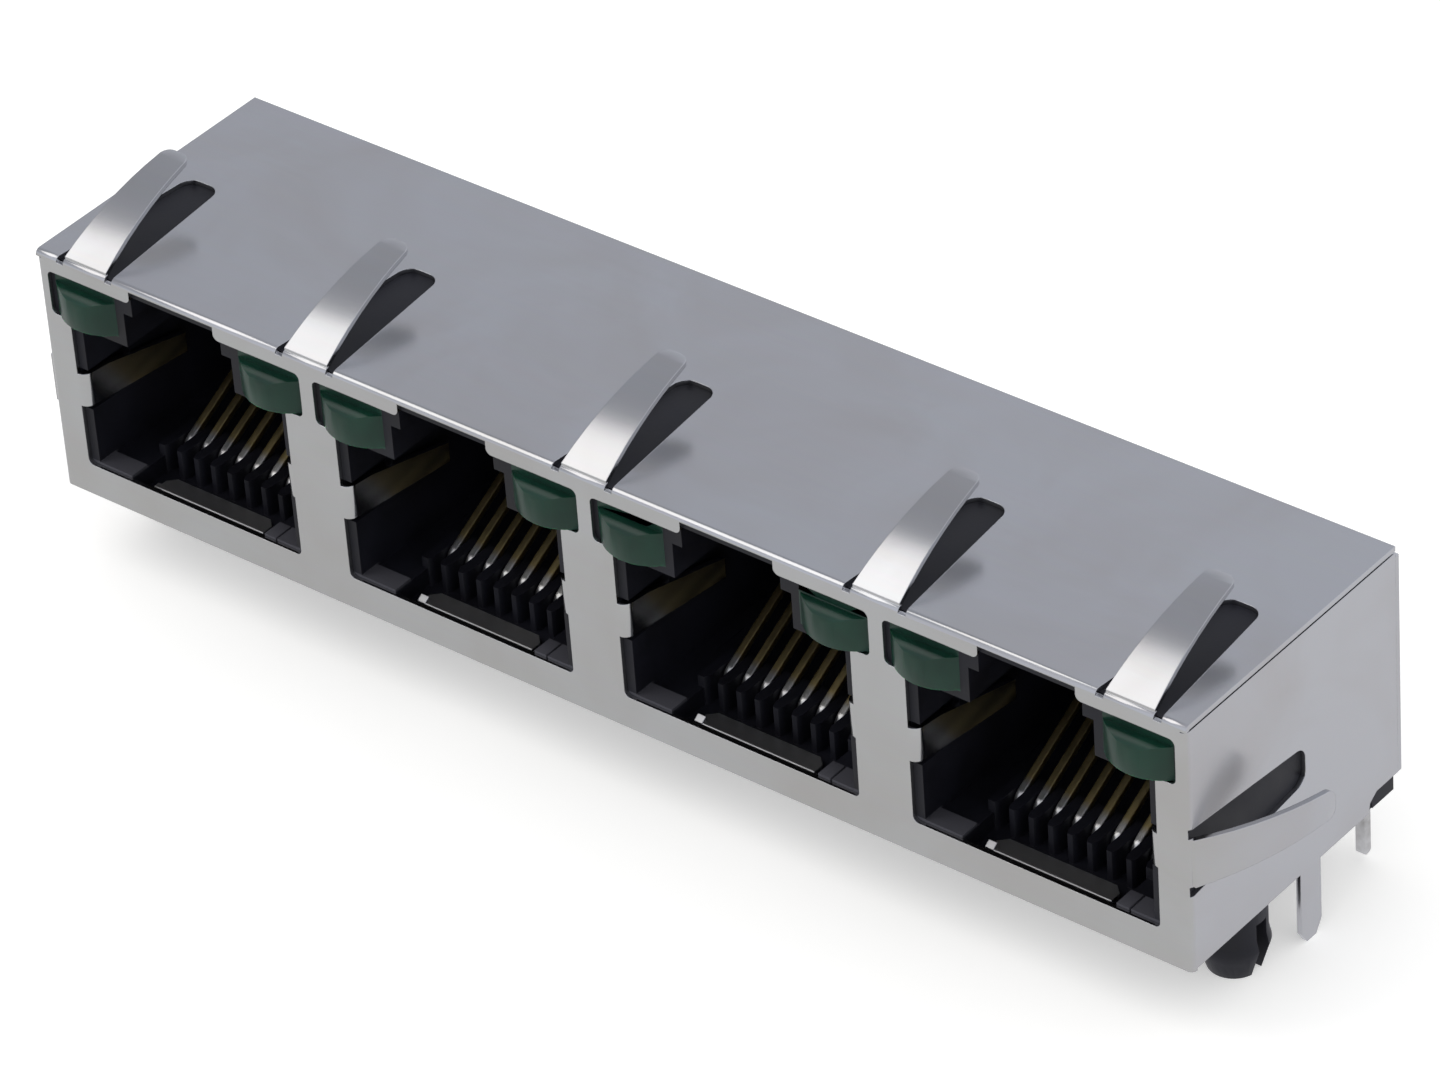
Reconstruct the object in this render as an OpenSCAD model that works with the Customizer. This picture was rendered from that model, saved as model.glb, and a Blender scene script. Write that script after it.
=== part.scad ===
// Four-port RJ45 board jack with shield, ground fingers and two indicator lights per port.
// X runs along the front from port 1 to port 4, Y runs back from the front face, Z is up.
// The board's top face is at z = 0 and the ports are centred on x = 0.

/* [Shield] */
// distance from one port to the next
port_pitch = 15.7; // [15.6:0.1:17]
// how far the shield stands out past the outer half pitch at each end
end_margin = 0.2; // [0.1:0.05:0.6]
// height of the shield's top over the board
body_h = 12.9; // [12.8:0.1:14]
// depth from the front face to the back of the rear shield
body_d = 15.2; // [15.1:0.1:18]
// thickness of the shield sheet
sheet_t = 0.25; // [0.2:0.01:0.27]
// inside radius of the sheet's sharp folds
fold_inside = 0.05; // [0.03:0.01:0.1]
// gap of the folded seam between the top and each side
seam_gap = 0.1; // [0.05:0.01:0.15]
// height of the front face's lower edge over the board
front_foot_z = 0.1; // [0.05:0.01:0.15]
// height of the side panels' lower edges over the board
side_foot_z = 0.22; // [0.18:0.01:0.26]
// height of the cut-away rear corner of each side panel
corner_z = 1.05; // [0.8:0.05:1.4]
// length of the cut-away rear corner
corner_l = 2.3; // [1.8:0.1:2.6]
// how far the rear sheet tucks in under the top
tuck_l = 2; // [1.2:0.1:3]
// how much shorter the tucked edge is at each end
tuck_inset = 1; // [0.6:0.1:2]
// width of the rear sheet's ground tails
rear_tail_w = 1.2; // [0.8:0.1:1.4]

/* [Ground fingers] */
// width of a finger at its root
finger_root_w = 2.5; // [2.1:0.1:2.6]
// width of a finger near its free end
finger_tip_w = 1.5; // [1.2:0.1:1.7]
// distance from the front face to a finger's free end
finger_end_y = 6.85; // [6:0.05:7.2]
// radius of a finger's bow
finger_bow_r = 16.3; // [14:0.1:20]
// angle at which a finger leaves its panel
finger_rise = 32.6; // [28:0.2:34]
// width of the slot beside a finger's root
finger_slot = 0.5; // [0.4:0.05:0.6]
// distance from the front face to the far end of a finger's slot
finger_slot_end_y = 8.25; // [7.9:0.05:9]
// height of the side fingers' centre line
side_finger_z = 5.8; // [5.2:0.05:7]
// distance from each end of the top to the slot of its last finger
finger_margin = 1.13; // [1:0.01:1.6]
// share of its half width by which the end of a finger or slot is rounded
finger_round = 0.7; // [0.4:0.05:0.95]
// distance from the front face to the start of the side slots
side_slit_y = 0.08; // [0.04:0.02:0.2]

/* [Port opening] */
// width of the plug cavity
plug_w = 11.9; // [11.7:0.05:12.1]
// height of the shield opening's lower edge
opening_z = 1.78; // [1.7:0.02:1.85]
// distance from the shield's top down to the upper edge of the light windows
window_drop = 0.9; // [0.85:0.01:1]
// height of the light windows
window_h = 2.3; // [2.2:0.05:2.4]
// width of the shield left between two ports' light windows
window_web = 0.76; // [0.7:0.02:0.9]
// width of the cut for the plug's latch in the shield
latch_cut_w = 5; // [4.4:0.1:5.2]
// radius of the shield opening's corners
opening_r = 0.3; // [0.15:0.05:0.35]
// width of the folded lip at the foot of each opening
lip_w = 6.4; // [5.4:0.1:6.8]
// distance from the front face to the back of the folded lip
lip_y = 1.35; // [1.2:0.05:1.45]
// height of the folded lip's upper edge
lip_z = 1.15; // [1:0.05:1.3]

/* [Ground leaves in the port] */
// lower edge of the leaf on each side wall
leaf_z = 5; // [4.6:0.1:5.2]
// height of the leaf at the front
leaf_h = 1.75; // [1.5:0.05:1.9]
// distance from the front face to the leaf's free end
leaf_end_y = 6; // [5:0.1:6.6]
// angle at which the leaf closes in on the plug
leaf_angle = 7; // [5:0.5:8]
// outside radius of the leaf's fold at the opening's edge
leaf_fold_r = 0.5; // [0.4:0.05:0.55]

/* [Housing] */
// gap from the board to the housing's underside, bridged by its feet
stand_off = 0.3; // [0.28:0.01:0.35]
// height of the cavity floor and of the contact carriers' tops
floor_z = 1.75; // [1.7:0.01:1.8]
// height of the raised pads at the mouth of each port
pad_z = 1.9; // [1.86:0.01:1.95]
// depth of the raised pads behind the front sheet
pad_l = 1.05; // [0.8:0.05:1.1]
// length of the inner block of the right-hand pad
pad_split = 0.65; // [0.5:0.05:0.9]
// half width of the recess between the raised pads
recess_half = 4; // [3.8:0.05:4.1]
// clearance from the recess floor up to the contacts
recess_gap = 0.08; // [0.05:0.01:0.1]
// distance from the front face to the cavity's back wall
cavity_back_y = 11.6; // [11.4:0.05:11.8]
// thickness of the wall under the light pockets
pocket_floor_t = 0.37; // [0.3:0.01:0.45]
// width of the latch channel over the plug
latch_w = 6.4; // [6:0.05:6.5]
// depth of the latch channel behind the front face
latch_back_y = 9.5; // [8:0.1:10.5]
// thickness of the housing over the latch channel
top_t = 0.45; // [0.4:0.01:0.55]
// size of the blocks in the channel's upper corners
corner_block = 0.55; // [0.4:0.05:0.65]
// height of the blocks
block_h = 1.1; // [0.8:0.05:1.3]
// depth of the blocks
block_l = 1.55; // [1.2:0.05:1.8]
// width of a foot under the housing
foot_w = 1.8; // [1.4:0.1:2]
// length of a foot
foot_l = 1.4; // [1.2:0.1:1.4]
// distance from the front and the back of the housing to its feet
foot_y = 1.5; // [1.2:0.1:1.5]
// thickness left around the hollow in each wall between ports
core_wall = 0.8; // [0.7:0.05:0.9]
// distance from the front face to that hollow
core_y = 3.5; // [3.4:0.1:4.5]
// distance from that hollow to the back of the housing
core_back = 2.45; // [2.2:0.05:2.6]

/* [Contacts] */
// distance between neighbouring contacts in the port
contact_pitch = 1.016; // [1:0.001:1.02]
// distance between neighbouring tails, which stand in two rows
tail_pitch = 1.27; // [1.2:0.01:1.27]
// width of a contact across its strip
strip_w = 0.38; // [0.36:0.01:0.44]
// thickness of the strip the contacts are formed from
strip_t = 0.35; // [0.3:0.01:0.4]
// radius of a contact's bends on its centre line
strip_bend_r = 0.55; // [0.5:0.01:0.6]
// distance from the front face to the centre of the front bend
bend_y = 4.15; // [4:0.05:4.2]
// height of the contacts' run under the carrier
run_z = 1.05; // [1:0.01:1.1]
// angle at which the spring part of a contact rises
contact_rise = 28; // [24:0.5:30]
// distance from the front face to the contacts' free ends
contact_end_y = 10.4; // [9.8:0.1:10.6]
// distance from the second row of tails to the leads of the lights behind it
tail_lead_gap = 2.53; // [2.4:0.01:2.6]
// distance between the two rows of tails
tail_row_gap = 2.54; // [2.4:0.01:2.6]
// length of all tails and pins under the board's top face
tail_l = 3.6; // [3.2:0.1:4]
// clearance between a contact and the comb rib beside it
comb_gap = 0.05; // [0.03:0.01:0.08]
// clearance beside a contact in its carrier's groove
groove_gap = 0.15; // [0.13:0.01:0.18]
// distance from the front face to the comb
comb_y = 2.45; // [2.3:0.05:2.55]
// height of the comb ribs
comb_z = 2.3; // [2.1:0.05:2.5]
// how much each side of a comb rib is bevelled at its front edge
comb_bevel = 0.14; // [0.08:0.01:0.16]
// length of that bevel
comb_bevel_l = 0.3; // [0.2:0.05:0.5]
// distance from the front face to the carriers
carrier_y = 4.8; // [4.7:0.05:4.9]
// how far a carrier reaches behind its second row of tails
carrier_lap = 1.25; // [1:0.05:1.35]
// straight length between a contact's jog and the first row of tails
jog_gap = 1.6; // [1.2:0.1:1.8]

/* [Lights] */
// width of a light
led_w = 3.58; // [3.4:0.01:3.6]
// width of housing wall that shows beside a light in its window
led_edge = 0.22; // [0.18:0.01:0.26]
// how much taller a light's body is than its window
led_lap = 0.1; // [0.06:0.01:0.14]
// distance from the front face to a light's back
led_back_y = 7.5; // [6.5:0.1:8.5]
// how far a light's lens bulges out of the front face
lens_bulge = 0.5; // [0.3:0.05:0.55]
// radius of the lens's bulge
lens_r = 2.5; // [2.5:0.1:3.5]
// height of the lens, whose flat top is under the window's upper edge
lens_h = 1.7; // [1.4:0.05:1.9]
// radius of the lens's rounded upper front edge
lens_round = 0.5; // [0.3:0.05:0.5]
// clearance between a lens and its window
lens_gap = 0.04; // [0.03:0.01:0.08]
// thickness of the square leads
lead_t = 0.5; // [0.4:0.05:0.55]
// distance between the two leads of a light
lead_distance = 2.54; // [2.4:0.01:2.54]
// outside radius of the leads' bends
lead_bend_r = 0.6; // [0.55:0.05:0.8]
// how much shorter the leads are than the tails
lead_short = 0.25; // [0.1:0.05:0.5]
// size of the leads' cut corners at their ends
lead_chamfer = 0.12; // [0.05:0.01:0.18]
// distance from the leads' centre lines to the rear shield
lead_back_gap = 0.78; // [0.7:0.02:0.9]

/* [Board pegs] */
// radius of a peg's shaft
peg_r = 1.5; // [1.4:0.05:1.5]
// length of the plain shaft under the board's top face
peg_shaft_l = 1.6; // [1.4:0.1:1.8]
// radius of the snap barb
peg_barb_r = 1.62; // [1.58:0.01:1.68]
// how far the barb is under the board's top face
peg_barb_z = 2.2; // [2:0.1:2.5]
// how much smaller a peg's end is than its shaft
peg_taper = 0.3; // [0.2:0.05:0.5]
// how far the slot's closed end is under the board's top face
peg_slot_z = 0.8; // [0.6:0.1:1.2]
// distance from the end port's centre to the peg
peg_x = 6.25; // [6.1:0.05:6.25]
// distance from the front face to the pegs
peg_y = 5.3; // [4.8:0.1:5.6]
// width of the slot that splits a peg
peg_slot = 0.7; // [0.5:0.05:0.8]
// width of a ground tail on the shield's sides
side_tail_w = 1.45; // [1.2:0.05:1.6]
// distance from the front face to the centre of the side tails
side_tail_y = 8.45; // [8.2:0.05:9]

/* [Hidden] */
$fn = 48;
ports = 4;
contacts = 8;
eps = 0.01;
weld = 0.05;
bend_r = sheet_t + fold_inside;
slit_drop = sheet_t + 0.02;
half_w = ports * port_pitch / 2 + end_margin;
end_finger_x = half_w - finger_root_w / 2 - finger_slot - finger_margin;
top_z = body_h;
under_top_z = body_h - sheet_t;
back_y = body_d - sheet_t;
housing_half = half_w - sheet_t;
open_half = plug_w / 2 - 0.03 + leaf_fold_r;
window_top = body_h - window_drop;
ledge_z = window_top - window_h;
window_half = (port_pitch - window_web) / 2;
led_x = window_half - led_edge - led_w / 2;
led_z0 = ledge_z - led_lap / 2;
led_h = window_h + led_lap;
cavity_top = led_z0 - pocket_floor_t;
latch_top = under_top_z - top_t;
lead_y = back_y - lead_back_gap;
lead_z = led_z0 + led_h / 2;
lead_bay_half = lead_distance / 2 + lead_t / 2 + 0.13;
lead_bay_y = lead_y - lead_t / 2 - 0.3;
lead_ledge_z = 1;
recess_z = run_z - strip_t / 2 - recess_gap;
slot_half = strip_w / 2 + comb_gap;
comb_half = contacts / 2 * contact_pitch + 0.23;
carrier_half = (contacts - 1) / 2 * tail_pitch + 0.75;
tail_row_y = lead_y - tail_lead_gap - tail_row_gap;
carrier_end_y = tail_row_y + tail_row_gap + carrier_lap;
jog_y = carrier_y + 0.1;
jog_end_y = tail_row_y - jog_gap;
rise_start_y = bend_y - strip_bend_r * sin(contact_rise);
rise_start_z = run_z + strip_bend_r + strip_bend_r * cos(contact_rise);
rise_l = (contact_end_y - rise_start_y) / cos(contact_rise);

function port_x(p) = (p - (ports + 1) / 2) * port_pitch;
function contact_x(i) = (i - (contacts + 1) / 2) * contact_pitch;
function tail_x(i) = (i - (contacts + 1) / 2) * tail_pitch;
function tail_y(i) = tail_row_y + (i % 2 == 0 ? tail_row_gap : 0);

// A box given by its two opposite corners.
module span(a, b) {
  translate(a)
    cube([b[0] - a[0], b[1] - a[1], b[2] - a[2]]);
}

// A flat rectangle given by its two opposite corners, with round corners.
module round_rect(a, b, r) {
  translate([a[0] + r, a[1]])
    square([b[0] - a[0] - 2 * r, b[1] - a[1]]);
  translate([a[0], a[1] + r])
    square([b[0] - a[0], b[1] - a[1] - 2 * r]);
  for (x = [a[0] + r, b[0] - r])
    for (y = [a[1] + r, b[1] - r])
      translate([x, y])
        circle(r = r);
}

// Stands a drawing in X and Z upright and gives it a depth from y0 to y1.
module upright(y0, y1) {
  translate([0, y1, 0])
    rotate([90, 0, 0])
      linear_extrude(height = y1 - y0)
        children();
}

// Runs a drawing in Y and Z along X from x0 to x1.
module along_x(x0, x1) {
  translate([x0, 0, 0])
    rotate([90, 0, 90])
      linear_extrude(height = x1 - x0)
        children();
}

// A quarter of a flat ring, in the quadrant that sx and sy name.
module quarter_ring(r_out, r_in, sx, sy) {
  intersection() {
    difference() {
      circle(r = r_out);
      circle(r = r_in);
    }
    translate([sx > 0 ? 0 : -r_out - 1, sy > 0 ? 0 : -r_out - 1])
      square([r_out + 1, r_out + 1]);
  }
}

// The outline of one port's opening in the front sheet, drawn in X and Z.
module port_outline() {
  round_rect([-open_half, opening_z], [open_half, ledge_z + opening_r * 2], opening_r);
  round_rect([-window_half, ledge_z], [window_half, window_top], opening_r);
  translate([-latch_cut_w / 2, window_top - opening_r])
    square([latch_cut_w, under_top_z - window_top + opening_r]);
  for (s = [-1, 1])
    difference() {
      translate([s > 0 ? latch_cut_w / 2 - eps : -latch_cut_w / 2 - opening_r, window_top - eps])
        square([opening_r + eps, opening_r + eps]);
      translate([s * (latch_cut_w / 2 + opening_r), window_top + opening_r])
        circle(r = opening_r);
    }
}

// A plan that tapers from y0 back to a rounded end, given by its half widths.
module tapered_plan(y0, root, tip, end_y) {
  r = tip * finger_round;
  polygon([[-root, y0], [root, y0], [tip, end_y - r], [-tip, end_y - r]]);
  translate([-tip + r, end_y - r - eps])
    square([2 * (tip - r), r + eps]);
  for (s = [-1, 1])
    translate([s * (tip - r), end_y - r])
      circle(r = r);
}

// What is cut from a panel for one finger, from y0 back. The panel's outside is z = 0, and the root stays.
module finger_cut(y0) {
  difference() {
    translate([0, 0, -slit_drop])
      linear_extrude(height = 2 * slit_drop)
        tapered_plan(y0, finger_root_w / 2 + finger_slot, (finger_tip_w + finger_slot) / 2, finger_slot_end_y);
    span([-finger_root_w / 2, -2, -2 * slit_drop], [finger_root_w / 2, bend_r, 2 * slit_drop]);
  }
}

// One bowed ground finger over a panel whose outside is z = 0.
module finger() {
  centre_y = 0.1 + finger_bow_r * sin(finger_rise);
  centre_z = 0.05 - finger_bow_r * cos(finger_rise);
  intersection() {
    along_x(-finger_root_w / 2, finger_root_w / 2)
      intersection() {
        difference() {
          translate([centre_y, centre_z])
            circle(r = finger_bow_r, $fn = 200);
          translate([centre_y, centre_z])
            circle(r = finger_bow_r - sheet_t, $fn = 200);
        }
        translate([0.2, -sheet_t])
          square([finger_end_y, 4]);
      }
    translate([0, 0, -1])
      linear_extrude(height = 6)
        tapered_plan(0, finger_root_w / 2, finger_tip_w / 2, finger_end_y);
  }
}

// Places a finger shape on the top panel at x, or on a side panel.
module on_top(x) {
  translate([x, 0, top_z])
    children();
}

module on_side(s) {
  translate([s * half_w, 0, side_finger_z])
    rotate([0, s * 90, 0])
      children();
}

// One ground leaf on the right wall of a port, folded in from the opening's edge.
module leaf() {
  run = leaf_end_y - leaf_fold_r;
  intersection() {
    translate([0, 0, leaf_z])
      linear_extrude(height = leaf_h)
        union() {
          translate([open_half, leaf_fold_r])
            quarter_ring(leaf_fold_r, leaf_fold_r - sheet_t, -1, -1);
          translate([open_half - leaf_fold_r, leaf_fold_r])
            rotate([0, 0, leaf_angle])
              translate([0, -0.01])
                square([sheet_t, run]);
        }
    along_x(0, open_half + 1)
      polygon([
        [-1, leaf_z - 1], [leaf_end_y + 1, leaf_z - 1],
        [leaf_end_y + 1, leaf_z + leaf_h * 0.5], [leaf_fold_r + 1, leaf_z + leaf_h],
        [-1, leaf_z + leaf_h]
      ]);
  }
}

// The lip that is folded back under the port and up into its recess.
module lip() {
  along_x(-lip_w / 2, lip_w / 2)
    polygon([
      [sheet_t / 2, front_foot_z], [lip_y - 0.1, front_foot_z], [lip_y, front_foot_z + 0.1],
      [lip_y, lip_z], [lip_y - sheet_t, lip_z], [lip_y - sheet_t, front_foot_z + sheet_t],
      [sheet_t / 2, front_foot_z + sheet_t]
    ]);
}

// A ground tail on the right side panel.
module side_tail() {
  a = side_tail_y - side_tail_w / 2;
  b = side_tail_y + side_tail_w / 2;
  along_x(half_w - sheet_t, half_w)
    polygon([
      [a, side_foot_z + 0.1], [a, -tail_l + 0.6], [a + 0.38, -tail_l], [b - 0.42, -tail_l],
      [b, -tail_l + 0.65], [b, side_foot_z + 0.1]
    ]);
}

// The front face with both sides folded back, drawn in plan and raised to z1.
module wrap_plan() {
  translate([-half_w + bend_r, 0])
    square([2 * (half_w - bend_r), sheet_t]);
  for (s = [-1, 1]) {
    translate([s * (half_w - bend_r), bend_r])
      quarter_ring(bend_r, bend_r - sheet_t, s, -1);
    translate([s > 0 ? half_w - sheet_t : -half_w, bend_r])
      square([sheet_t, back_y - bend_r]);
  }
}

// The front sheet: face, top and sides folded from one blank, with all its cuts and fingers.
module front_shield() {
  bend_z = top_z - bend_r;
  seam_z = under_top_z - seam_gap;
  color([0.76, 0.76, 0.77]) {
    difference() {
      union() {
        translate([0, 0, front_foot_z])
          linear_extrude(height = seam_z - front_foot_z)
            wrap_plan();
        span([-half_w + bend_r, 0, seam_z - eps], [half_w - bend_r, sheet_t, bend_z + eps]);
        along_x(-half_w, half_w)
          translate([bend_r, bend_z])
            quarter_ring(bend_r, bend_r - sheet_t, -1, 1);
        span([-half_w, bend_r - eps, under_top_z], [half_w, back_y, top_z]);
      }
      for (p = [1:ports])
        translate([port_x(p), 0, 0])
          upright(-1, bend_r)
            port_outline();
      for (k = [1:ports - 1])
        on_top((k - ports / 2) * port_pitch)
          finger_cut(-1);
      for (s = [-1, 1]) {
        on_top(s * end_finger_x)
          finger_cut(-1);
        on_side(s)
          finger_cut(side_slit_y);
        span(
          [s > 0 ? half_w - 1 : -half_w - 1, bend_r, front_foot_z - 1],
          [s > 0 ? half_w + 1 : -half_w + 1, back_y + 1, side_foot_z]
        );
      }
      along_x(-half_w - 1, half_w + 1)
        polygon([
          [back_y - corner_l + 0.1, -1], [back_y - corner_l + 0.1, side_foot_z],
          [back_y - corner_l + 0.2, side_foot_z + 0.5], [back_y - corner_l + 0.7, corner_z],
          [back_y + 1, corner_z], [back_y + 1, -1]
        ]);
    }
    for (k = [1:ports - 1])
      on_top((k - ports / 2) * port_pitch)
        finger();
    for (s = [-1, 1]) {
      on_top(s * end_finger_x)
        finger();
      on_side(s)
        finger();
    }
    for (p = [1:ports])
      translate([port_x(p), 0, 0]) {
        leaf();
        mirror([1, 0, 0])
          leaf();
        lip();
      }
    side_tail();
    mirror([1, 0, 0])
      side_tail();
  }
}

// The back sheet, tucked under the top panel, with a ground tail behind each wall between ports.
module rear_shield() {
  bend_z = under_top_z - bend_r;
  color([0.72, 0.72, 0.73]) {
    span([-half_w, back_y, corner_z], [half_w, body_d, bend_z + eps]);
    span([-half_w + corner_l, back_y, stand_off], [half_w - corner_l, body_d, corner_z + eps]);
    along_x(-half_w + tuck_inset, half_w - tuck_inset) {
      translate([body_d - bend_r, bend_z])
        quarter_ring(bend_r, bend_r - sheet_t, 1, 1);
      translate([body_d - bend_r - tuck_l, under_top_z - sheet_t])
        square([tuck_l + eps, sheet_t]);
    }
    for (k = [1:ports - 1])
      span(
        [(k - ports / 2) * port_pitch - rear_tail_w / 2, back_y, -tail_l],
        [(k - ports / 2) * port_pitch + rear_tail_w / 2, body_d, stand_off + eps]
      );
  }
}

// One split snap peg, whose top meets the housing's underside.
module peg() {
  difference() {
    union() {
      translate([0, 0, -peg_shaft_l])
        cylinder(r = peg_r, h = peg_shaft_l + stand_off);
      translate([0, 0, -peg_barb_z])
        cylinder(r1 = peg_barb_r, r2 = peg_r, h = peg_barb_z - peg_shaft_l);
      translate([0, 0, -tail_l])
        cylinder(r1 = peg_r - peg_taper, r2 = peg_barb_r, h = tail_l - peg_barb_z);
    }
    span([-2 * peg_r, -peg_slot / 2, -tail_l - 1], [2 * peg_r, peg_slot / 2, -peg_slot_z]);
  }
}

// Everything that is hollow in one port of the housing.
module port_hollow() {
  span([-plug_w / 2, 0, floor_z], [plug_w / 2, cavity_back_y, cavity_top]);
  span([-latch_w / 2, 0, cavity_top - eps], [latch_w / 2, latch_back_y, latch_top - block_h]);
  span([-latch_w / 2, sheet_t + block_l, latch_top - block_h - eps], [latch_w / 2, latch_back_y, latch_top]);
  span(
    [-latch_w / 2 + corner_block, 0, latch_top - block_h - eps],
    [latch_w / 2 - corner_block, sheet_t + block_l + eps, latch_top]
  );
  span([-recess_half, 0, recess_z], [recess_half, comb_y, floor_z + eps]);
  span([-lip_w / 2 - 0.05, 0, 0], [lip_w / 2 + 0.05, lip_y + 0.05, recess_z + eps]);
  span([-carrier_half, carrier_y, 0], [carrier_half, carrier_end_y, floor_z]);
  for (s = [-1, 1]) {
    span(
      [s > 0 ? plug_w / 2 - eps : -open_half - 0.01, 0, leaf_z - 0.2],
      [s > 0 ? open_half + 0.01 : -plug_w / 2 + eps, 3, leaf_z + leaf_h + 0.2]
    );
    translate([s * led_x, 0, 0]) {
      span([-led_w / 2, 0, led_z0], [led_w / 2, led_back_y, led_z0 + led_h]);
      span([-lead_bay_half, led_back_y - eps, lead_z - 0.6], [lead_bay_half, body_d, lead_z + 0.6]);
      span([-lead_bay_half, lead_bay_y, lead_ledge_z], [lead_bay_half, body_d, lead_z + 0.6]);
      for (t = [-1, 1])
        span(
          [t * lead_distance / 2 - lead_t / 2, lead_y - lead_t / 2, 0],
          [t * lead_distance / 2 + lead_t / 2, lead_y + lead_t / 2, lead_ledge_z + eps]
        );
    }
  }
}

// The ribs and pads that stand up in one port.
module port_ribs() {
  span([-plug_w / 2, sheet_t, floor_z], [-recess_half, sheet_t + pad_l, pad_z]);
  span([recess_half, sheet_t, floor_z], [recess_half + pad_split, sheet_t + pad_l, pad_z]);
  span([recess_half + pad_split + 0.1, sheet_t, floor_z], [plug_w / 2, sheet_t + pad_l, pad_z]);
  span([-comb_half, comb_y, recess_z], [comb_half, carrier_y, comb_z]);
  for (k = [0:contacts])
    translate([(k - contacts / 2) * contact_pitch, 0, 0])
      span(
        [-contact_pitch / 2 + slot_half, cavity_back_y - 1.8, 4.2],
        [contact_pitch / 2 - slot_half, cavity_back_y, 6.8]
      );
}

// The slots of the comb, one for each contact.
module comb_slots() {
  for (i = [1:contacts])
    translate([contact_x(i), 0, recess_z])
      linear_extrude(height = comb_z)
        polygon([
          [-slot_half - comb_bevel, comb_y - eps], [slot_half + comb_bevel, comb_y - eps],
          [slot_half, comb_y + comb_bevel_l], [slot_half, carrier_y],
          [-slot_half, carrier_y], [-slot_half, comb_y + comb_bevel_l]
        ]);
}

// The moulded body of all four ports, with its feet and pegs.
module housing() {
  wall_half = (port_pitch - plug_w) / 2;
  color([0.14, 0.14, 0.15]) {
    difference() {
      union() {
        difference() {
          span([-housing_half, sheet_t, stand_off], [housing_half, back_y, under_top_z]);
          for (p = [1:ports])
            translate([port_x(p), 0, 0])
              port_hollow();
          span(
            [-half_w, body_d - bend_r - tuck_l, under_top_z - sheet_t],
            [half_w, body_d, top_z]
          );
          for (s = [-1, 1])
            span(
              [s > 0 ? housing_half - bend_r + sheet_t : -half_w, 0, 0],
              [s > 0 ? half_w : -housing_half + bend_r - sheet_t, bend_r, top_z]
            );
          span([-half_w, 0, under_top_z - bend_r + sheet_t], [half_w, bend_r, top_z]);
          span([-half_w, body_d - bend_r, under_top_z - bend_r], [half_w, body_d, top_z]);
          for (k = [1:ports - 1])
            translate([(k - ports / 2) * port_pitch, 0, 0])
              span(
                [-wall_half + core_wall, core_y, 0],
                [wall_half - core_wall, back_y - core_back, cavity_top - 2 * core_wall]
              );
        }
        for (p = [1:ports])
          translate([port_x(p), 0, 0])
            port_ribs();
      }
      for (p = [1:ports])
        translate([port_x(p), 0, 0])
          comb_slots();
    }
    for (k = [0:ports]) {
      foot_x = (k - ports / 2) * port_pitch;
      s = k == 0 ? 1 : (k == ports ? -1 : 0);
      translate([foot_x + s * 1, 0, 0]) {
        span([-foot_w / 2, foot_y, 0], [foot_w / 2, foot_y + foot_l, stand_off]);
        span([-foot_w / 2, back_y - foot_y - foot_l, 0], [foot_w / 2, back_y - foot_y, stand_off]);
      }
    }
    for (s = [-1, 1]) {
      span(
        [s > 0 ? housing_half - 0.5 : -housing_half, back_y - 1.6, 0],
        [s > 0 ? housing_half : -housing_half + 0.5, back_y, stand_off]
      );
      translate([s * (port_x(ports) + peg_x), peg_y, 0])
        peg();
    }
  }
}

// The part of a flat ring between two directions less than half a turn apart.
module ring_arc(r_out, r_in, a0, a1) {
  intersection() {
    difference() {
      circle(r = r_out);
      circle(r = r_in);
    }
    rotate([0, 0, a0])
      translate([-2 * r_out, 0])
        square([4 * r_out, 2 * r_out]);
    rotate([0, 0, a1 - 180])
      translate([-2 * r_out, 0])
        square([4 * r_out, 2 * r_out]);
  }
}

// The spring part and the front bend of a contact, drawn in Y and Z.
module spring_profile() {
  half = strip_t / 2;
  side = half - 0.0005;
  translate([rise_start_y, rise_start_z])
    rotate([0, 0, contact_rise])
      polygon([[-0.02, -side], [rise_l, -side], [rise_l, side - 0.12], [rise_l - 0.12, side], [-0.02, side]]);
  translate([bend_y, run_z + strip_bend_r])
    ring_arc(strip_bend_r + half, strip_bend_r - half, 90 + contact_rise, 270);
  polygon([
    [bend_y - weld, run_z], [bend_y, run_z - half], [bend_y + 0.2, run_z - half],
    [bend_y + 0.2, run_z + half], [bend_y, run_z + half]
  ]);
}

// The bend down into the board and the tail with its tapered tip, drawn in Y and Z.
module tail_profile(y) {
  half = strip_t / 2;
  run_end = y - strip_bend_r;
  translate([run_end, run_z - strip_bend_r])
    ring_arc(strip_bend_r + half, strip_bend_r - half, 0, 90);
  polygon([
    [run_end + weld, run_z], [run_end, run_z + half], [run_end - 0.2, run_z + half],
    [run_end - 0.2, run_z - half], [run_end, run_z - half]
  ]);
  polygon([
    [y - half, run_z - strip_bend_r], [y - half, 0.4 - tail_l], [y - half * 0.4, -tail_l],
    [y + half * 0.4, -tail_l], [y + half, 0.4 - tail_l], [y + half, run_z - strip_bend_r],
    [y, run_z - strip_bend_r + weld]
  ]);
}

// The plan of the run from the front bend to a tail, with its jog, widened by g on both sides.
module run_plan(i, y0, y1, g) {
  a = contact_x(i);
  b = tail_x(i);
  h = strip_w / 2 + g;
  polygon([
    [a - h, y0], [a + h, y0], [a + h, jog_y], [b + h, jog_end_y],
    [b + h, y1], [b - h, y1], [b - h, jog_end_y], [a - h, jog_y]
  ]);
}

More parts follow.
